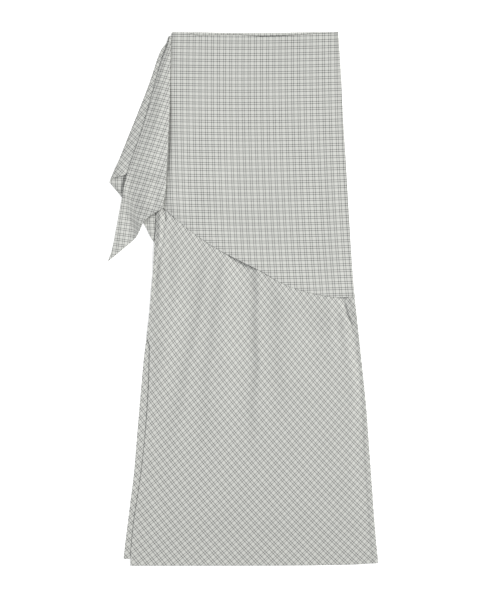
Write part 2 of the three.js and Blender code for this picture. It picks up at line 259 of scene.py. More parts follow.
# Folds of the skirt's front
FRONT_FOLDS = [
    fold(
        4, 5, (-148.3, 660, 2.6), (-151, 625, 2.8), (-155, 591, 2.2), (-160.5, 544, 1.8),
        (-164, 490, 0),
    ),
    fold(5, 2.4, (-146.5, 670, 8), (-144.5, 656, 8), (-142, 638, 0)),
    fold(11, 13, (-136, 650, 1.4), (-137, 590, 1.1), (-136, 500, 0.5), (-134, 440, 0)),
    fold(
        32, 24, (-69, 612, 0.3), (-80, 575, 2.4), (-88, 544, 3.3), (-94, 497, 3.9),
        (-108, 413, 3.8), (-121, 366, 3.3), (-133, 310, 2.5), (-149, 254, 1.6), (-162, 179, 0.8),
        (-174, 110, 0),
    ),
    fold(
        30, 16, (-46, 590, 0.3), (-50, 550, 2.2), (-65, 460, 2.2), (-76, 366, 2), (-80, 310, 1.4),
        (-85, 254, 0.8), (-88, 190, 0),
    ),
    fold(
        46, 16, (11, 600, 5.8), (12, 544, 5.8), (15, 500, 5.8), (15, 413, 5), (15, 366, 4),
        (9, 310, 3), (8, 254, 1.6), (8, 180, 0),
    ),
    fold(
        29, 22, (44, 548, 0.6), (45, 522, 2), (47, 497, 2.8), (50, 413, 2.2), (54, 366, 1.8),
        (59, 310, 1), (60, 254, 0.4), (60, 200, 0),
    ),
    fold(40, 30, (134, 512, 0.3), (135, 460, 2.2), (136, 404, 1.4), (137, 340, 0)),
    fold(14, 10, (178, 508, 0.6), (181, 460, 1.8), (184, 413, 1.2), (186, 360, 0)),
    fold(
        16, 13, (189, 515, 2.8), (192.5, 497, 2.8), (199, 470, 2.8), (205, 448, 2.7),
        (211, 413, 2.4), (219, 366, 0),
    ),
    fold(7, 2.6, (188, 515, 9), (192, 497, 9), (198.5, 470, 7), (204, 448, 4), (210, 405, 0)),
    fold(9, 9, (-172, 140, 0), (-153, 114, 0.7), (-134, 90, 0)),
]
# A soft ridge beside its left edge
FRONT_RIDGES = [
    fold(9, 4, (-149.3, 676, 0.4), (-150, 650, 2), (-153, 620, 2), (-159, 560, 0)),
]
# Shallow creases pressed into the undersides of the back panels
BACK_CREASES = [
    fold(16, 16, (-150, 480, 0), (-120, 300, 0.45), (-110, 140, 0)),
    fold(13, 13, (-60, 500, 0), (-40, 330, 0.4), (-52, 200, 0)),
    fold(18, 18, (40, 480, 0), (60, 290, 0.5), (48, 120, 0)),
    fold(15, 15, (130, 490, 0), (165, 330, 0.45), (180, 210, 0)),
    fold(14, 14, (-100, 930, 0), (-90, 800, 0.35), (-100, 680, 0)),
    fold(16, 16, (10, 950, 0), (-2, 790, 0.4), (12, 600, 0)),
    fold(14, 14, (110, 900, 0), (128, 730, 0.35), (120, 580, 0)),
]
# Faint upright waves of the overlay's front
OVERLAY_WAVES = [
    fold(34, 18, (-4, 960, 0.5), (-6, 750, 0.9), (-4, 560, 0.4)),
    fold(22, 20, (-84, 860, 0), (-90, 750, 0.4), (-92, 650, 0)),
    fold(24, 20, (82, 900, 0), (86, 730, 0.4), (96, 560, 0)),
    fold(30, 18, (146, 960, 0.3), (148, 750, 0.8), (152, 520, 0.6)),
]


def inner_left(up):
    """The cascade's inner layer starts just inside the outer fold."""
    return outer_fold(up) + INNER_INSET


def inner_right(up):
    """The cascade's inner layer ends just short of the overlay's hidden edge."""
    return overlay_left(up) - INNER_SHORT


def skirt_right(up):
    """The skirt's right side seam: inside the overlay's above its hem, then at the outline."""
    over_hem = up - overlay_front_hem(side_seam(up))
    return side_seam(up) - SIDE_INSET * ease(over_hem, *INSET_FADE)


# Heights over the surface

SWAYS = [(1.3, 23.0, 2.1), (0.7, 9.5, 1.0)]  # how far a path strays, over what length, its phase
UNEVEN = (0.1, 31.0, 1.7)  # the same for its depth
FOLD_ROUND = 0.03  # roundness of a fold's bottom
FOLD_SOFT = 0.55  # share of its flanks that is curved
FOLD_RUN_ON = 40.0  # how far it runs on above its path

# Places and heights where the back's two corners come up, and where they go again
RISE_GAP = (620, 634, 0.6, 3)  # distance that the first keeps from the skirt's edge
RISE_EDGE = 1.5  # width over which it ends there
SKIRT_CORNER_X = (-187, -166)
SKIRT_CORNER_UP = (604, 632, 668, 700)
LEFT_CORNER_X = (-252, -228, -226, -212)
LEFT_CORNER_HEM = (-2, 9)
LEFT_CORNER_TOP = (735, 765)

# The overlay's rise beside the cascade's right fold: two heights or places, and what it has there
OVERLAY_RISE = 6.0
RISE_WIDTH = (790, 930, 9, 5)  # width over which it comes up
RISE_HEM = (-140, -90, 26, 120)  # distance from the hem over which it comes up
RISE_AWAY = (-132, 60, 1, 0.2)  # share of it that is left away from the fold
RISE_LOW = (680, 760, 1.15, 1)  # share of it lower down
RISE_DIP = 0.5  # and share by which it is less within these heights
RISE_DIP_UP = (800, 900, 915, 960)


def fold_depth(folds, x, up):
    """The deepest of some folds at each place: sharp along its path and soft at its sides."""
    deepest = np.zeros(np.broadcast(x, up).shape)
    share, length, phase = UNEVEN
    for number, each in enumerate(folds):
        path = each["path"]
        wander = sum(far * np.sin(up / run + turn * number) for far, run, turn in SWAYS)
        beside = x - curve_of(path, "up", "x")(up) - wander
        across = beside / np.where(beside < 0, each["left"], each["right"])
        rounded = np.sqrt(across**2 + FOLD_ROUND) - math.sqrt(FOLD_ROUND)
        shape = np.clip(1 - rounded, 0, 1)
        shape = (1 - FOLD_SOFT) * shape + FOLD_SOFT * ease(shape, 0, 1)
        top = path["up"].max()
        depth = curve_of(path, "up", "depth")(np.clip(up, path["up"].min(), top))
        within = ease(top + FOLD_RUN_ON - up, 0, FOLD_RUN_ON)
        uneven = 1 + share * np.sin(up / length + phase * number)
        deepest = np.maximum(deepest, depth * shape * within * uneven)
    return deepest


def back_rise(x, up):
    """The back's corners at the left stand up: beside the skirt's edge, and under the cascade."""
    edge = front_left(up) - ramp(up, *RISE_GAP)
    beside = 1 - ease(x, edge - RISE_EDGE, edge)
    at_skirt = beside * ease(x, *SKIRT_CORNER_X) * window(up, *SKIRT_CORNER_UP)
    from_hem = ease(up - overlay_back_hem(x), *LEFT_CORNER_HEM)
    at_corner = window(x, *LEFT_CORNER_X) * from_hem * (1 - ease(up, *LEFT_CORNER_TOP))
    return BACK_RISE * at_skirt + CORNER_RISE * at_corner


def waist_curl(x, up):
    """The back's facing puffs up at the waist, and drops under the front's edge."""
    room = waist_back(x) - waist_front(x)
    between = window(x, *CURL_SPAN) * ease(room, *CURL_ROOM)
    return WAIST_CURL * between * ease(up - waist_front(x), CURL_DROP[1], CURL_DROP[0])


def overlay_back_height(x, up):
    return back_rise(x, up) + waist_curl(x, up)


def skirt_back_height(x, up):
    hem = overlay_back_hem(x) - HEM_CLEAR
    return LAYER * ease(up, hem - HEM_FALL, hem) + waist_curl(x, up)


def waist_opening(x, up):
    """How far the front layers stand off the back's inside at the waist."""
    return WAIST_LIFT * window(x, *WAIST_SPAN) * ease(LENGTH - up, *WAIST_FADE)


def seam_groove(up):
    """How far inside the right side seam its groove lies."""
    return ramp(up, *SEAM_IN)


def stand_off(x, up):
    """How far the front stands off the back between its folds, which the overlay bridges."""
    puff = ramp(up, *PUFF)
    from_overlay = ease(overlay_front_hem(x) - up, *PUFF_HEM)
    inside_left = x - front_left(up)
    left_width = ramp(up, *PUFF_LEFT)
    from_left = (ease(inside_left, -2, left_width) + ease(inside_left, *PUFF_ACROSS)) / 2
    groove = seam_groove(up)
    right_width = ramp(up, *PUFF_RIGHT)
    at_groove = 1 - ease(skirt_right(up) - x, groove, groove + right_width)
    grooved = 1 - ease(up, *SEAM_HEIGHTS)
    easing = PUFF_EASING * ease(x, *EASING_ACROSS) * (1 - ease(up, *EASING_TOP))
    from_right = (1 - grooved * at_groove) * (1 - easing)
    standing = puff * from_overlay * from_left * from_right * ease(up, 0, PUFF_FOOT)
    return standing + waist_opening(x, up)


def seam_roll(inside, groove):
    """The allowances of a side seam, pressed towards its outline."""
    return SEAM_ROLL * (1 - ease(inside, groove - 2.6, groove + 0.6))


def skirt_front_height(x, up):
    puff = stand_off(x, up)
    folded = np.minimum(fold_depth(FRONT_FOLDS, x, up), puff + FOLD_ROOM)
    inside = skirt_right(up) - x
    roll = seam_roll(inside, seam_groove(up)) * ramp(up, *ROLL_SHARE)
    roll = roll * (1 - ease(up, *SEAM_HEIGHTS))
    standing = puff - folded + fold_depth(FRONT_RIDGES, x, up) + roll
    back = skirt_back_height(x, up) - waist_curl(x, up)
    return back + LAYER + standing * ease(inside, 0, SIDE_WALL)


def rise_beside_fold(x, up):
    """The overlay comes up beside the cascade's right fold, and goes down slowly away from it."""
    width = ramp(up, *RISE_WIDTH)
    hem_reach = ramp(x, *RISE_HEM)
    rise = ease(x - top_right(up), -1, width) * ease(up - overlay_front_hem(x), 0, hem_reach)
    rise = rise * (1 - RISE_DIP * window(up, *RISE_DIP_UP))
    return OVERLAY_RISE * rise * ramp(x, *RISE_AWAY) * ramp(up, *RISE_LOW)


def overlay_front_height(x, up):
    from_hem = up - overlay_front_hem(x)
    from_seam = side_seam(up) - x
    inside = ease(x - overlay_left(up), 20, 60) * ease(from_seam, 6, 30)
    inside = inside * ease(from_hem, 0, 40) * ease(LENGTH - up, 10, 90)
    wave = (WAVE_HEIGHT - fold_depth(OVERLAY_WAVES, x, up)) * inside
    lift = stand_off(x, up) + wave + rise_beside_fold(x, up)
    lift = lift + OVERLAY_ROLL * seam_roll(from_seam, 6) - HEM_SETTLE * (1 - ease(from_hem, 0, 9))
    past_left = LEFT_SLOPE * (back_left(up) - x - LEFT_REACH)
    standing = np.maximum(SKIRT_STACK - LAYER + lift - np.maximum(past_left, 0), 0)
    at_wall = (1 - ease(from_seam, 0, SIDE_WALL)) * ease(from_hem, 4, 16)
    return LAYER + standing * (1 - at_wall)


def inner_height(x, up):
    """The cascade's inner layer rises from the outer fold towards the layer that lies over it."""
    inside = x - outer_fold(up)
    across = np.clip(inside / INNER_RUN, 0, 1.5)
    rise = INNER_RISE * across * (1 - INNER_ARCH * across) * ease(INNER_START - up, 4, 170)
    rise = rise * ramp(up, *INNER_HEM)
    return LAYER + back_rise(x, up) + rise - INNER_PINCH * (1 - ease(inside, 0, 3))


def under_top_layer(x, up):
    """Height of what lies under the cascade's top layer, coming down gently past each edge."""

    def fall(past_side, past_hem):
        past = np.maximum(past_side - DRAPE_REACH, past_hem - DRAPE_HEM_REACH)
        return DRAPE_SLOPE * np.maximum(past, 0)

    overlay_top = SKIRT_STACK + stand_off(x, up) + WALL
    on_overlay = overlay_top - fall(overlay_left(up) - x, overlay_front_hem(x) - up)
    past_inner = INNER_EASE * (x - inner_right(up))
    on_inner = inner_height(x, up) + WALL - fall(past_inner, inner_hem(x) - up)
    on_back = WALL + back_rise(x, up) - fall(outer_fold(up) - x, overlay_back_hem(x) - up)
    highest = np.maximum(np.maximum(on_overlay, on_inner), on_back)
    return np.maximum(highest - DRAPE_SINK, 0)


# The weave's own coordinates, in millimetres of thread, from places in decimetres or millimetres


def overlay_threads(x, up):
    """Straight grain, with the slight bow that the cloth has where it hangs from the waist."""
    a = x / 100
    b = (up - 750) / 100
    warp = -3.95 + 97.5 * a + 3.4 * b - 0.45 * a**2 + 0.4 * a * b - 1.0 * b**2
    weft = 1.92 - 100.2 * b - 0.2 * a + 0.95 * a**2 + 0.3 * a * b + 0.44 * b**2
    return warp, weft


def skirt_threads(x, up):
    """Cut on the bias, so both families run diagonally and bend a little down the skirt."""
    a = (x - 20) / 100
    b = (up - 300) / 100
    warp = 77.7 * a - 74.5 * b + 2.2 * a**2 + 1.85 * a * b + 0.64 * b**2
    weft = -3.6 - 79.4 * a - 64.5 * b + 0.87 * a**2 - 3.5 * a * b - 0.04 * b**2
    return warp, weft


def skirt_back_threads(x, up):
    """The back's inside is faced on the straight grain at the waist."""
    straight = overlay_threads(x + FACING_SHIFT[0], up + FACING_SHIFT[1])
    bias = skirt_threads(x, up)
    return tuple(np.where(up > LENGTH - FACING, *pair) for pair in zip(straight, bias))


def inner_threads(x, up):
    """The back of the cloth, turned over at the outer fold."""
    a = x + 200
    b = up - 800
    return -0.80 * a + 0.69 * b, -0.73 * a - 0.80 * b


def top_threads(x, up):
    """The cloth turns and closes up over the soft valley beside the cascade's tip."""
    warp = 0.965 * (x + 170) - 0.361 * (up - 750)
    weft = 3.9 - 0.273 * (x + 170) - 1.017 * (up - 750)
    valley = -220 + 0.27 * (713 - up)
    tip = 1 - ease(x - valley, -9, 9)
    warp_more = np.minimum(0.153 * (x + 220) + 0.214 * (up - 713), 0)
    weft_more = np.maximum(0.122 * (x + 220) - 0.083 * (up - 713), 0)
    return warp + tip * warp_more, weft + tip * weft_more


# Grids of points


def spread(length, cell, start, end):
    """Grid lines along a length as (share, offset) rows, with set distances from each end."""
    first, last = start[-1], end[-1]
    count = max(round((length - first - last) / cell), 1)
    shares = np.linspace(0, 1, count + 1)[1:-1]
    near_start = [(0, distance) for distance in start]
    between = [(share, first * (1 - share) - last * share) for share in shares]
    near_end = [(1, -distance) for distance in reversed(end)]
    return np.array(near_start + between + near_end, float)


STEEPEST = 1.5  # slope of any edge
FAR = 40  # past every band


def slope_of(line, at):
    """An edge's slope, over one millimetre."""
    return (line(at + 0.5) - line(at - 0.5)).clip(-STEEPEST, STEEPEST)


class Panel:
    """A panel's edges, its grid and its hems, with rows from the top line to the hem.

    Size is its width and length, and cells the grid's. Across and down are grid lines near its
    edges, turned names the distances from its hems, and seam says if a side seam shows through.
    """

    def __init__(self, edges, size, cells, across, down, turned=("from_hem",), fullness=1, seam=True):
        self.left, self.right, self.top, self.hem = edges
        self.size, self.turned, self.fullness, self.seam = size, turned, fullness, seam
        self.columns = spread(size[0], cells[0], *across)
        self.rows = spread(size[1], cells[1], *down)

    def across(self, up):
        share, offset = self.columns.T
        left = self.left(up)
        return left + share * (self.right(up) - left) + offset

    def meet(self, line):
        """The heights at which the columns meet a line across the panel."""
        up = np.full(len(self.columns), float(line(0.0)))
        for _ in range(60):
            up = 0.5 * up + 0.5 * line(self.across(up))
        return up

    def places(self):
        top, hem = self.meet(self.top), self.meet(self.hem)
        share, offset = self.rows.T[:, :, None]
        up = top + share * (hem - top) - offset
        return self.across(up), up

    def from_hem(self, x, up):
        return (up - self.hem(x)) / np.hypot(1, slope_of(self.hem, x))

    def from_left(self, x, up):
        return (x - self.left(up)) / np.hypot(1, slope_of(self.left, up))

    def from_right(self, x, up):
        return (self.right(up) - x) / np.hypot(1, slope_of(self.right, up))

    def from_top(self, x, up):
        return self.top(x) - up

    def from_slit(self, x, up):
        """Distance from a slit at the left, far where that edge is a seam."""
        return self.from_left(x, up) + FAR * ease(up, *SLIT_TOP)

    def bands(self, x, up):
        """How much of a turned band there is at each place, and how deep its stitches pull."""
        turned = np.zeros_like(x)
        pulled = np.zeros_like(x)
        for edge in self.turned:
            distance = getattr(self, edge)(x, up)
            turned = np.maximum(turned, self.fullness * band(distance))
            uneven = 1 + PUCKER * pucker(x + up)
            pulled = np.maximum(pulled, HEM_PULL * needle_line(distance) * uneven)
        if self.seam:
            distance = self.from_right(x, up)
            turned = np.maximum(turned, ALLOWANCE * band(distance, SEAM_BAND))
            pulled = np.maximum(pulled, SEAM_PULL * np.exp(-((distance / SEAM_DRAWN) ** 2)))
        return turned, pulled


def band(distance, width=HEM_BAND):
    """1 within a turned band of cloth and 0 past its edge."""
    return 1 - ease(distance, width - 0.5, width + 0.7)


def needle_line(distance, width=HEM_BAND):
    """The groove that a row of stitches pulls in."""
    return np.exp(-(((distance - width + STITCH_IN) / 0.7) ** 2))


def ripple(x, up):
    """Slow unevenness of laid cloth, from -1 to 1."""
    first = np.sin(x / 37.0 + 1.3 * np.sin(up / 61.0)) * np.cos(up / 53.0 - 0.6 * np.sin(x / 45.0))
    second = np.sin((x + 0.7 * up) / 29.0) * np.cos((up - 0.4 * x) / 41.0 + 0.9)
    return 0.6 * first + 0.4 * second


def pucker(along):
    """Small unevenness along a seam or hem, from -1 to 1."""
    return 0.5 * np.sin(along / 3.1) + 0.3 * np.sin(along / 1.9 + 0.7) + 0.2 * np.sin(along / 7.3)


def normals(points):
    """Unit normals of a grid of points, out of its upper side."""
    down, across = np.gradient(points, axis=(0, 1))
    out = np.cross(down, across)
    return out / np.linalg.norm(out, axis=2, keepdims=True)


def boundary(rows, columns):
    """Grid indices round the edge, once round in the same turn as the faces."""
    grid = np.arange(rows * columns).reshape(rows, columns)
    return np.concatenate([grid[:, 0], grid[-1, 1:], grid[-2::-1, -1], grid[0, -2:0:-1]])


def grid_faces(rows, columns):
    grid = np.arange(rows * columns).reshape(rows, columns)
    corners = [grid[:-1, :-1], grid[1:, :-1], grid[1:, 1:], grid[:-1, 1:]]
    return np.stack([corner.ravel() for corner in corners], axis=1)


RIM_SHARE = 0.35  # a rim stands out by this share of the cloth's thickness
RIM_MOST = 0.3


def shell_mesh(name, upper, lower, threads, chart):
    """A closed cloth shell from two grids of points in millimetres, with a rounded rim.

    threads are the weave's coordinates of both grids. chart is each grid point's place in a
    square from 0 to 1, for the map named OFBake.
    """
    rows, columns = upper.shape[:2]
    count = rows * columns
    faces = grid_faces(rows, columns)
    edge = boundary(rows, columns)
    following = np.roll(edge, -1)
    high, low = upper.reshape(-1, 3), lower.reshape(-1, 3)
    middle = (high[edge] + low[edge]) / 2
    run = high[following] - high[np.roll(edge, 1)]
    outward = np.cross(run, high[edge] - low[edge])
    outward /= np.maximum(np.linalg.norm(outward, axis=1, keepdims=True), 1e-9)
    thick = np.linalg.norm(high[edge] - low[edge], axis=1, keepdims=True)
    rim = middle + outward * np.minimum(RIM_SHARE * thick, RIM_MOST)
    rim_at = 2 * count + np.arange(len(edge))
    rim_next = np.roll(rim_at, -1)
    above = np.stack([edge, rim_at, rim_next, following], axis=1)
    below = np.stack([rim_at, edge + count, following + count, rim_next], axis=1)
    every = np.concatenate([faces, faces[:, ::-1] + count, above, below])
    points = np.concatenate([high, low, rim])
    woven = threads.reshape(-1, 2)
    woven = np.concatenate([woven, woven, woven[edge]])
    return cloth_mesh(name, points, every, woven, bake_map(chart, faces, edge))


def bake_map(chart, faces, edge):
    """Each face corner's place in the OFBake map: the upper side, the lower side and the rim."""
    margin, step = 0.012, 0.004
    flat = chart.reshape(-1, 2)
    island = margin + flat * (1 - 2 * margin)
    upper = island * (0.5, 1)
    lower = island * (0.5, 1) + (0.5, 0)
    centred = flat[edge] - 0.5
    away = np.sign(np.where(np.isclose(np.abs(centred), 0.5), centred, 0))
    rim = upper[edge] + away * step
    foot = upper[edge] + 2 * away * step
    following = np.roll(np.arange(len(edge)), -1)
    above = [upper[edge], rim, rim[following], upper[edge][following]]
    below = [rim, foot, foot[following], rim[following]]
    rims = [np.stack(corners, axis=1) for corners in (above, below)]
    return np.concatenate([each.reshape(-1, 2) for each in (upper[faces], lower[faces[:, ::-1]], *rims)])


def mesh_object(name, points, faces):
    """An object from points in metres and faces of equally many corners, shaded smooth."""
    mesh = bpy.data.meshes.new(name)
    mesh.vertices.add(len(points))
    mesh.vertices.foreach_set("co", points.astype(np.float32).ravel())
    corners = faces.shape[1]
    mesh.loops.add(faces.size)
    mesh.loops.foreach_set("vertex_index", faces.astype(np.int32).ravel())
    mesh.polygons.add(len(faces))
    mesh.polygons.foreach_set("loop_start", np.arange(0, faces.size, corners, dtype=np.int32))
    mesh.polygons.foreach_set("use_smooth", np.ones(len(faces), bool))
    mesh.update(calc_edges=True)
    piece = bpy.data.objects.new(name, mesh)
    bpy.context.scene.collection.objects.link(piece)
    return piece


def to_world(points):
    return (points - (ORIGIN_X, ORIGIN_UP, 0)) * MM


def cloth_mesh(name, points, faces, woven, baked):
    piece = mesh_object(name, to_world(points), faces)
    threads = piece.data.uv_layers.new(name="Thread")
    threads.data.foreach_set("uv", woven[faces.ravel()].astype(np.float32).ravel())
    bake = piece.data.uv_layers.new(name="OFBake")
    bake.data.foreach_set("uv", baked.astype(np.float32).ravel())
    threads.active_render = True
    return piece


def chart_of(panel):
    """Grid lines as a chart from 0 to 1 both ways, spaced as they are on the cloth."""
    width, length = panel.size
    across = panel.columns[:, 0] + panel.columns[:, 1] / width
    down = panel.rows[:, 0] + panel.rows[:, 1] / length
    flat = np.stack(np.meshgrid(across, 1 - down), axis=2)
    return np.clip(flat, 0, 1)


RELIEF = 0.12  # the laid cloth's slow unevenness
PUCKER = 0.35  # share by which a stitch line is uneven
HEM_PULL = 0.16  # how deep its stitches pull
SEAM_PULL = 0.3  # and how deep a side seam is drawn in
SEAM_DRAWN = 1.2  # over this width
ALLOWANCE = 0.55  # a seam allowance's fullness beside a turned hem's
TOP_FULLNESS = 0.4  # and that of the overlay front's hem and waist edge


def laid_shell(node, panel, height, threads, creases=None):
    """A panel's cloth on its packed form: thin between its turned edges, full at them.

    A panel with creases rests on the surface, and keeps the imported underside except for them.
    """
    x, up = panel.places()
    turned, pulled = panel.bands(x, up)
    thick = CLOTH + (TURNED - CLOTH) * turned
    relief = RELIEF * ripple(x, up) * (1 - turned)
    packed = height(x, up)
    upper = np.stack([x, up, packed + (WALL + thick) / 2 - pulled + relief], axis=2)
    if creases is None:
        lower = upper - normals(upper) * thick[:, :, None]
    else:
        lower = np.stack([x, up, packed + fold_depth(creases, x, up) * (1 - turned)], axis=2)
    woven = np.stack(threads(x, up), axis=2)
    return shell_mesh(node + "_cloth", upper, lower, woven, chart_of(panel))


def top_height(panel, height):
    """The upper side of a laid panel as a function of place, for what is sewn through it."""

    def top(x, up):
        turned, pulled = panel.bands(x, up)
        return height(x, up) + (WALL + CLOTH + (TURNED - CLOTH) * turned) / 2 - pulled

    return top


def below_waist(line):
    """The skirt's top line, a step below one of the overlay's."""
    return lambda x: line(x) - WAIST_STEP


def level(up):
    """A line straight across at one height."""
    return lambda x: up + 0 * x


overlay_back_panel = Panel(
    (outer_fold, side_seam, waist_back, overlay_back_hem), (400, 440), (2.4, 6),
    across=(PLAIN_LINES, SEAM_LINES), down=(WAIST_LINES, HEM_LINES),
)
skirt_back_panel = Panel(
    (back_left, skirt_right, below_waist(waist_back), skirt_back_hem), (400, 990), (6, 6),
    across=(HEM_LINES, SEAM_LINES), down=(FACING_LINES, HEM_LINES), turned=("from_hem", "from_slit"),
)
skirt_front_panel = Panel(
    (front_left, skirt_right, below_waist(waist_front), skirt_front_hem), (400, 995), (3.6, 4.2),
    across=(HEM_LINES + SLIT_LINES, SEAM_LINES + NOTCH_LINES), down=(PLAIN_LINES, HEM_LINES),
    turned=("from_hem", "from_slit"),
)
overlay_front_panel = Panel(
    (overlay_left, side_seam, waist_front, overlay_front_hem), (350, 430), (4, 4),
    across=(PLAIN_LINES, SEAM_LINES), down=(HEM_LINES, HEM_LINES),
    turned=("from_hem", "from_top"), fullness=TOP_FULLNESS,
)
inner_panel = Panel(
    (inner_left, inner_right, level(INNER_START), inner_hem), (40, 260), (2.5, 4),
    across=(PLAIN_LINES, PLAIN_LINES), down=(PLAIN_LINES, HEM_LINES), seam=False,
)
top_panel = Panel(
    (top_left, top_right, level(TOP_START), top_hem), (60, 340), (2, 3),
    across=((0, 0.4, 1.2, 2.4), (0, 0.8)), down=(PLAIN_LINES, HEM_LINES), seam=False,
)


# The cascade's top layer

# Its soft shoulder, a row for each height: where the layer comes down to its left part, and the
# half width of that slope.
SHOULDER = table(("up", "x", "half"), [
    (990, -137.5, 2.5),
    (975, -139.5, 3.5),
    (950, -146, 6),
    (910, -157, 7),
    (853, -168, 16),
    (797, -180, 25),
    (741, -195, 30),
    (694, -204, 24),
    (657, -200, 18),
    (640, -198, 16),
    (600, -195, 14),
])
FOLD_TOP = 1.3  # mid-line radius of its right fold at the waist
FOLD_HEM = 4.5  # and at its hem
FOLD_GROWTH = 0.9  # power with which it grows on the way down
FOLD_MOST = 0.2  # largest share of the layer's width that it takes
BEND_LINES = 11  # grid lines round the fold, with its two ends
UNDER_LINES = 10  # and under it
UNDER_DROP = 0.12  # share of the width over which the part under it comes down
LEFT_BAND = 4.0  # width of the turned hem at its left edge
TIP_SWELL = 1.6  # how far the hanging tip stands off
TIP_UP = (572, 612, 664, 712)  # heights at which that starts, is full, fades and ends
EDGE_CURL = 2.4  # how far its left edge bridges the inner layer's hem
CURL_UP = (690, 706, 722, 750)
WAVES = 0.25  # height of its soft waves
WAVES_TOP = (860, 960)  # which die away between these heights

shoulder_at = curve_of(SHOULDER, "up", "x")
shoulder_half = curve_of(SHOULDER, "up", "half")


def shoulder(x, up):
    """0 on the cascade's low left part and 1 on its raised right one."""
    return ease(x - shoulder_at(up), -shoulder_half(up), shoulder_half(up))


def cascade_relief(x, up):
    """Soft waves of the cascade's top layer, and the swell of its tip."""
    inside = x - top_left(up)
    across = ease(shoulder_at(up) - shoulder_half(up) - x, -4, 16)
    tip = TIP_SWELL * across * window(up, *TIP_UP) * ease(inside, -6, 12)
    curl = EDGE_CURL * (1 - ease(inside, 0, 9)) * window(up, *CURL_UP)
    wave = np.sin((x - shoulder_at(up)) / 9.0 + 0.4) * ease(inside, 6, 24)
    wave = 2 + wave * ease(top_right(up) - x, 2, 18)
    return tip + curl + WAVES * wave * (1 - ease(up, *WAVES_TOP))


def cascade_section(x, up, share):
    """One row of the top layer: its mid-line points and their places in the flat cloth.

    It runs from the left edge over the top to the right fold, round it and back under itself.
    """
    start, end = np.array([x[0], up[0]]), np.array([x[-1], up[-1]])
    width = np.linalg.norm(end - start)
    way = (end - start) / width
    radius = FOLD_TOP + (FOLD_HEM - FOLD_TOP) * share**FOLD_GROWTH
    radius = min(radius, FOLD_MOST * width)
    room = 1 - radius / width
    along = (x - start[0]) / (end[0] - start[0])

    def place(shares):
        return start[0] + shares * (end[0] - start[0]), np.interp(shares, along, up)

    top_x, top_up = place(along * room)
    lift = 2 * radius * shoulder(top_x, top_up) + cascade_relief(top_x, top_up)
    top = np.stack([top_x, top_up, under_top_layer(top_x, top_up) + WALL / 2 + lift], axis=1)
    centre = top[-1] - (0, 0, radius)
    angles = np.linspace(math.pi / 2, -math.pi / 2, BEND_LINES)[1:-1]
    out = np.cos(angles)
    bend = centre + radius * np.stack([out * way[0], out * way[1], np.sin(angles)], axis=1)
    back = np.linspace(room, 1 - TURN_SHARE, UNDER_LINES)
    back_x, back_up = place(back)
    base = under_top_layer(back_x, back_up) + WALL / 2
    drop = (centre[2] - radius - base[0]) * (1 - ease(room - back, 0, UNDER_DROP))
    under = np.stack([back_x, back_up, base + drop], axis=1)
    middle = np.concatenate([top, bend, under])
    return middle, flat_places(middle, top_x, top_up, way)


def flat_places(middle, top_x, top_up, way):
    """Places of a row's points in the flat cloth, which runs straight on past the fold."""
    steps = np.linalg.norm(np.diff(middle, axis=0), axis=1)
    run = np.concatenate([[0], np.cumsum(steps)])
    reach = np.maximum(run - run[len(top_x) - 1], 0)
    past = (0, len(middle) - len(top_x))
    x = np.pad(top_x, past, mode="edge") + reach * way[0]
    up = np.pad(top_up, past, mode="edge") + reach * way[1]
    return np.stack([x, up], axis=1)


def build_cascade_top():
    x, up = top_panel.places()
    sections = [cascade_section(*row) for row in zip(x, up, np.linspace(0, 1, len(x)))]
    middles = np.array([section[0] for section in sections])
    x, up = np.array([section[1].T for section in sections]).transpose(1, 0, 2)
    out = normals(middles)
    left_band = band(top_panel.from_left(x, up), LEFT_BAND)
    turned = np.maximum(band(top_panel.from_hem(x, up)), left_band)
    thick = (CLOTH + (TURNED - CLOTH) * turned)[:, :, None]
    upper = middles + out * thick / 2
    lower = upper - out * thick
    lower[:, :, 2] = np.maximum(lower[:, :, 2], 0)
    woven = np.stack(top_threads(x, up), axis=2)
    rows, columns = x.shape
    chart = np.stack(np.meshgrid(np.linspace(0, 1, columns), np.linspace(1, 0, rows)), axis=2)
    return shell_mesh("cascade_top_cloth", upper, lower, woven, chart)


# Stitches

STITCH = 2.2  # length of a stitch
STITCH_SPACE = 2.9  # from one stitch's start to the next
STITCH_MARGIN = 2.0  # length without stitches at each end of a run
STITCH_SUNK = 0.1  # depth of its two ends in the cloth
THREAD_HALF = 0.15
SLIT_STITCHED = (8.0, 404.0)  # heights between which the slit's hem is stitched


def stitch_run(path):
    """Even stitches along a smooth path of 3-D points: starts and ends."""
    steps = np.linalg.norm(np.diff(path, axis=0), axis=1)
    along = np.concatenate([[0], np.cumsum(steps)])
    starts = np.arange(STITCH_MARGIN, along[-1] - STITCH - STITCH_MARGIN, STITCH_SPACE)

    def at(where):
        return np.stack([np.interp(where, along, path[:, k]) for k in range(3)], axis=1)

    return at(starts), at(starts + STITCH)


def stitches(name, paths):
    """A piece with all the stitches of a panel, each a slim bead pulled into the cloth at its ends."""
    runs = [stitch_run(path) for path in paths]
    start = np.concatenate([run[0] for run in runs])
    end = np.concatenate([run[1] for run in runs])
    way = (end - start) / np.linalg.norm(end - start, axis=1, keepdims=True)
    side = np.cross(way, (0, 0, 1.0)) * THREAD_HALF
    middle = (start + end) / 2
    lift = np.array((0, 0, THREAD_HALF))
    sunk = np.array((0, 0, STITCH_SUNK))
    ring = [middle + side, middle + lift, middle - side, middle - lift]
    points = np.stack([start - sunk, *ring, end - sunk], axis=1).reshape(-1, 3)
    bead = np.array(
        [(0, 1, 2), (0, 2, 3), (0, 3, 4), (0, 4, 1), (5, 2, 1), (5, 3, 2), (5, 4, 3), (5, 1, 4)]
    )
    faces = (bead[None] + 6 * np.arange(len(start))[:, None, None]).reshape(-1, 3)
    return mesh_object(name, to_world(points), faces)


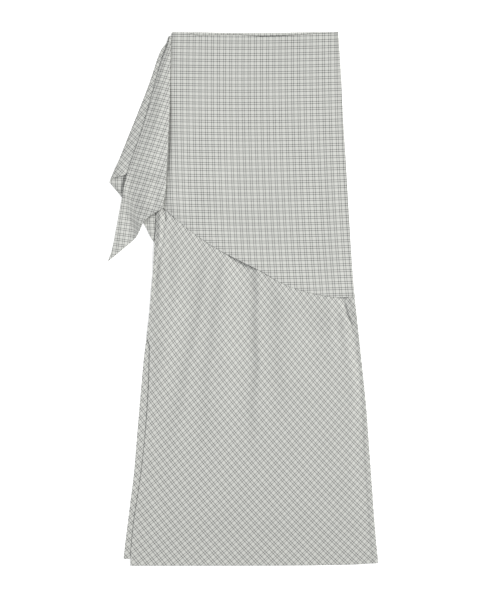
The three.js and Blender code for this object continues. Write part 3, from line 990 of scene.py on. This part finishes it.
def hem_path(panel, height, margin=6.0, inset=HEM_BAND - STITCH_IN):
    """A stitch line a set distance inside a panel's hem."""
    x = panel.across(panel.meet(panel.hem))
    fine = np.linspace(x[0] + margin, x[-1] - margin, 400)
    slope = slope_of(panel.hem, fine)
    long = np.hypot(1, slope)
    place_x = fine - slope / long * inset
    place_up = panel.hem(fine) + inset / long
    return np.stack([place_x, place_up, height(place_x, place_up)], axis=1)


def edge_path(edge, height, heights, inset=HEM_BAND - STITCH_IN):
    """A stitch line a set distance inside a left edge, between two heights."""
    up = np.linspace(*heights, 300)
    x = edge(up) + inset
    return np.stack([x, up, height(x, up)], axis=1)


# Materials

REPEAT = 11.3  # of the check, both ways
PAIR_HALF = 1.92  # each pair's lines lie this far from its middle
LINE_IN = 0.35  # half width of a line's dark middle
LINE_OUT = 0.85  # and of its whole
YARN = 0.72  # two yarns of the weave
GROUND = (0.610, 0.617, 0.588)
LINE = (0.060, 0.062, 0.066)
WARP_DARK = 0.52  # share of the line colour where one line lies alone
WEFT_DARK = 0.62


class Nodes:
    """Makes the nodes of one material."""

    def __init__(self, name):
        self.material = bpy.data.materials.new(name)
        self.material.use_nodes = True
        self.tree = self.material.node_tree
        self.tree.nodes.clear()

    def add(self, kind, inputs=None, **settings):
        made = self.tree.nodes.new(kind)
        for key, value in settings.items():
            setattr(made, key, value)
        for key, value in (inputs or {}).items():
            if isinstance(value, bpy.types.NodeSocket):
                self.tree.links.new(value, made.inputs[key])
            else:
                made.inputs[key].default_value = value
        return made

    def maths(self, operation, *values):
        made = self.add("ShaderNodeMath", dict(enumerate(values)), operation=operation)
        return made.outputs[0]

    def fit(self, value, low, high, start, end, kind="LINEAR"):
        inputs = {"Value": value, "From Min": low, "From Max": high, "To Min": start, "To Max": end}
        return self.add("ShaderNodeMapRange", inputs, interpolation_type=kind).outputs[0]

    def noise(self, place, factors, detail=3.0, roughness=0.5):
        """Noise over places multiplied by three factors."""
        scaled = self.add("ShaderNodeVectorMath", {0: place, 1: factors}, operation="MULTIPLY")
        inputs = {"Vector": scaled.outputs[0], "Scale": 1.0, "Detail": detail, "Roughness": roughness}
        return self.add("ShaderNodeTexNoise", inputs).outputs["Fac"]

    def bump(self, height, strength, distance):
        inputs = {"Strength": strength, "Distance": distance, "Height": height}
        return self.add("ShaderNodeBump", inputs).outputs[0]

    def blend(self, share, low, high):
        """Mixes two colours, through the sockets that a Mix node has for them."""
        made = self.add("ShaderNodeMix", data_type="RGBA")
        for socket, value in zip((made.inputs[0], made.inputs[6], made.inputs[7]), (share, low, high)):
            if isinstance(value, bpy.types.NodeSocket):
                self.tree.links.new(value, socket)
            else:
                socket.default_value = (*value, 1) if isinstance(value, tuple) else value
        return made.outputs[2]

    def surface(self, inputs):
        """The finished material, with one shader over the whole surface."""
        shader = self.add("ShaderNodeBsdfPrincipled", inputs)
        self.add("ShaderNodeOutputMaterial", {"Surface": shader.outputs[0]})
        return self.material


def line_mask(nodes, thread):
    """1 on the check's lines of one family and 0 between them."""
    folded = nodes.maths("PINGPONG", thread, REPEAT / 2)
    away = nodes.maths("ABSOLUTE", nodes.maths("SUBTRACT", folded, PAIR_HALF))
    return nodes.fit(away, LINE_IN, LINE_OUT, 1.0, 0.0, "SMOOTHSTEP")


def check_material():
    """Light crepe with a charcoal double-line check, woven in."""
    nodes = Nodes("check_cloth")
    place = nodes.add("ShaderNodeUVMap", uv_map="Thread").outputs[0]
    parts = nodes.add("ShaderNodeSeparateXYZ", {0: place})
    warp, weft = parts.outputs[0], parts.outputs[1]
    warp_line, weft_line = line_mask(nodes, warp), line_mask(nodes, weft)

    # The plain weave: where a warp yarn is on top its line shows, and the weft's is under it.
    over_warp = nodes.maths("SINE", nodes.maths("MULTIPLY", warp, 2 * math.pi / YARN))
    over_weft = nodes.maths("SINE", nodes.maths("MULTIPLY", weft, 2 * math.pi / YARN))
    weave = nodes.maths("MULTIPLY", over_warp, over_weft)
    weft_dark = nodes.maths("MULTIPLY", weft_line, WEFT_DARK)
    both = nodes.maths("MULTIPLY_ADD", warp_line, WARP_DARK, weft_dark)
    apart = nodes.maths("SUBTRACT", warp_line, weft_line)
    swap = nodes.maths("MULTIPLY", nodes.maths("MULTIPLY", apart, weave), 0.12)
    dark = nodes.add("ShaderNodeMath", {0: both, 1: swap}, operation="ADD", use_clamp=True).outputs[0]

    # Uneven yarns: slubs along each family, and slow clouding of the whole cloth.
    warp_slub = nodes.noise(place, (1.6, 0.06, 0))
    weft_slub = nodes.noise(place, (0.06, 1.6, 0))
    cloud = nodes.noise(place, (0.02, 0.02, 0), roughness=0.6)
    uneven = nodes.maths("ADD", nodes.maths("ADD", warp_slub, weft_slub), cloud)
    shade = nodes.fit(uneven, 1.1, 1.9, 0.965, 1.03)
    faded = nodes.fit(warp_slub, 0.3, 0.7, 0.92, 1.05)
    dark = nodes.maths("MULTIPLY", dark, faded)
    colour = nodes.blend(dark, GROUND, LINE)
    shaded = nodes.add("ShaderNodeVectorMath", {0: colour, "Scale": shade}, operation="SCALE")

    # Height: the weave's crowns, the crepe's pebbled grain and the slubs.
    crepe = nodes.noise(place, (0.55, 0.55, 0), roughness=0.6)
    height = nodes.maths("MULTIPLY_ADD", weave, 0.10, nodes.maths("MULTIPLY", crepe, 0.8))
    height = nodes.maths("MULTIPLY_ADD", warp_slub, 0.3, height)
    return nodes.surface(
        {
            "Base Color": shaded.outputs[0],
            "Roughness": nodes.fit(crepe, 0.3, 0.7, 0.80, 0.92),
            "Specular IOR Level": 0.25,
            "Sheen Weight": 0.12,
            "Sheen Roughness": 0.5,
            "Normal": nodes.bump(height, 0.32, 0.00045),
        }
    )


def thread_material():
    """Matt sewing thread with a fine twist."""
    nodes = Nodes("sewing_thread")
    place = nodes.add("ShaderNodeTexCoord").outputs["Object"]
    fibre = nodes.noise(place, (9000, 9000, 9000), 2.0)
    share = nodes.fit(fibre, 0.3, 0.7, 0.0, 1.0)
    colour = nodes.blend(share, (0.52, 0.525, 0.50), (0.62, 0.625, 0.60))
    normal = nodes.bump(fibre, 0.2, 0.00005)
    return nodes.surface({"Base Color": colour, "Roughness": 0.7, "Normal": normal})


FLOOR_GLOW = 0.3  # the light table's own light


def floor_material():
    """A pale light table, whose glow takes the edge off the shadows."""
    nodes = Nodes("pale_floor")
    place = nodes.add("ShaderNodeTexCoord").outputs["Object"]
    grain = nodes.noise(place, (3, 3, 3), 4.0)
    return nodes.surface(
        {
            "Base Color": nodes.blend(grain, (0.975, 0.975, 0.975), (0.985, 0.985, 0.985)),
            "Roughness": 0.9,
            "Specular IOR Level": 0.1,
            "Emission Color": (1, 1, 1, 1),
            "Emission Strength": FLOOR_GLOW,
        }
    )


# The pieces

check_cloth = check_material()
sewing_thread = thread_material()

# Each laid cloth's node, panel, height and threads, and its creases if it rests on the surface
LAID = [
    ("overlay_back", overlay_back_panel, overlay_back_height, overlay_threads, BACK_CREASES),
    ("skirt_back", skirt_back_panel, skirt_back_height, skirt_back_threads, BACK_CREASES),
    ("skirt_front", skirt_front_panel, skirt_front_height, skirt_threads),
    ("overlay_front", overlay_front_panel, overlay_front_height, overlay_threads),
    ("cascade_inner", inner_panel, inner_height, inner_threads),
]
cloths = {row[0]: laid_shell(*row) for row in LAID}
cloths["cascade_top"] = build_cascade_top()

skirt_top = top_height(skirt_front_panel, skirt_front_height)
front_top = top_height(overlay_front_panel, overlay_front_height)
skirt_paths = [hem_path(skirt_front_panel, skirt_top), edge_path(front_left, skirt_top, SLIT_STITCHED)]
skirt_stitches = stitches("skirt_front_stitches", skirt_paths)
front_stitches = stitches("overlay_front_stitches", [hem_path(overlay_front_panel, front_top)])

# Each cloth's node, flat size, area and state, the nodes that it rests on and what is sewn on it
SHEETS = [
    ("overlay_back", (0.458, 0.498), 0.177, "laid", [], []),
    ("skirt_back", (0.477, 0.992), 0.38, "laid", ["overlay_back"], []),
    ("skirt_front", (0.463, 0.998), 0.38, "laid", ["skirt_back"], [skirt_stitches]),
    ("overlay_front", (0.382, 0.497), 0.15, "laid", ["skirt_front"], [front_stitches]),
    ("cascade_inner", (0.076, 0.268), 0.0085, "laid", ["overlay_back"], []),
    ("cascade_top", (0.119, 0.415), 0.024, "folded", ["overlay_front", "cascade_inner"], []),
]
for node, flat, area, held, rests_on, sewn in SHEETS:
    piece = cloths[node]
    piece.data.materials.append(check_cloth)
    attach(piece, "root")
    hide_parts(node)
    for stitching in sewn:
        stitching.data.materials.append(sewing_thread)
        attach(stitching, "root")


# Floor, light and camera, in metres

VIEW_HEIGHT = 1.1236  # from the top to the bottom of the picture
VIEW_MIDDLE = (0.01365, -0.0025)  # what the camera looks straight down at
VIEW_LEVEL = 0.004  # height at which the picture has that size
LENS = 100.0
SENSOR = 36.0
FLOOR_HALF = 4.0
FLOOR_DROP = 0.0002  # the floor lies this far under the cloth
KEY_FROM = (0.64, 0.40, 0.66)  # direction to the key light
PANEL_PLACE = (0.9, 0.14, 1.4)  # of the right panel, which the left one mirrors


def make_floor():
    square = np.array([(-1, -1, 0), (1, -1, 0), (1, 1, 0), (-1, 1, 0)])
    corners = square * FLOOR_HALF - (0, 0, FLOOR_DROP)
    floor = mesh_object("floor", corners, np.array([(0, 1, 2, 3)]))
    floor.data.materials.append(floor_material())


def place_lamp(light, place, way):
    """A lamp that shines back along a direction."""
    lamp = bpy.data.objects.new(light.name, light)
    lamp.location = place
    lamp.rotation_euler = way.to_track_quat("Z", "Y").to_euler()
    bpy.context.scene.collection.objects.link(lamp)
    return lamp


def make_panel(name, side):
    """A soft round panel over one side, turned to the middle between the two."""
    light = bpy.data.lights.new(name, "AREA")
    light.shape = "DISK"
    light.size = 0.6
    light.energy = 7.4
    light.color = (0.99, 0.995, 1.0)
    x, y, z = PANEL_PLACE
    place_lamp(light, (side * x, y, z), Vector((side * x, 0, z))).visible_camera = False


def make_light():
    """A warm key from the upper right, a soft panel on each side and a faint dome."""
    world = bpy.data.worlds.new("studio")
    world.use_nodes = True
    background = world.node_tree.nodes["Background"]
    background.inputs["Color"].default_value = (0.975, 0.985, 1.0, 1)
    background.inputs["Strength"].default_value = 0.27
    bpy.context.scene.world = world
    sun = bpy.data.lights.new("key", "SUN")
    sun.energy = 2.08
    sun.angle = math.radians(20)
    sun.color = (1.0, 0.99, 0.96)
    place_lamp(sun, (0, 0, 0), Vector(KEY_FROM))
    make_panel("left_panel", -1)
    make_panel("right_panel", 1)


def make_camera():
    camera = bpy.data.cameras.new("camera")
    camera.lens = LENS
    camera.sensor_width = SENSOR
    camera.clip_end = 50
    holder = bpy.data.objects.new("camera", camera)
    holder.location = (*VIEW_MIDDLE, VIEW_LEVEL + VIEW_HEIGHT * LENS / SENSOR)
    bpy.context.scene.collection.objects.link(holder)
    bpy.context.scene.camera = holder


make_floor()
make_light()
make_camera()
bpy.context.scene.view_settings.view_transform = "Standard"
bpy.context.scene.cycles.denoising_prefilter = "NONE"  # which would blur the check
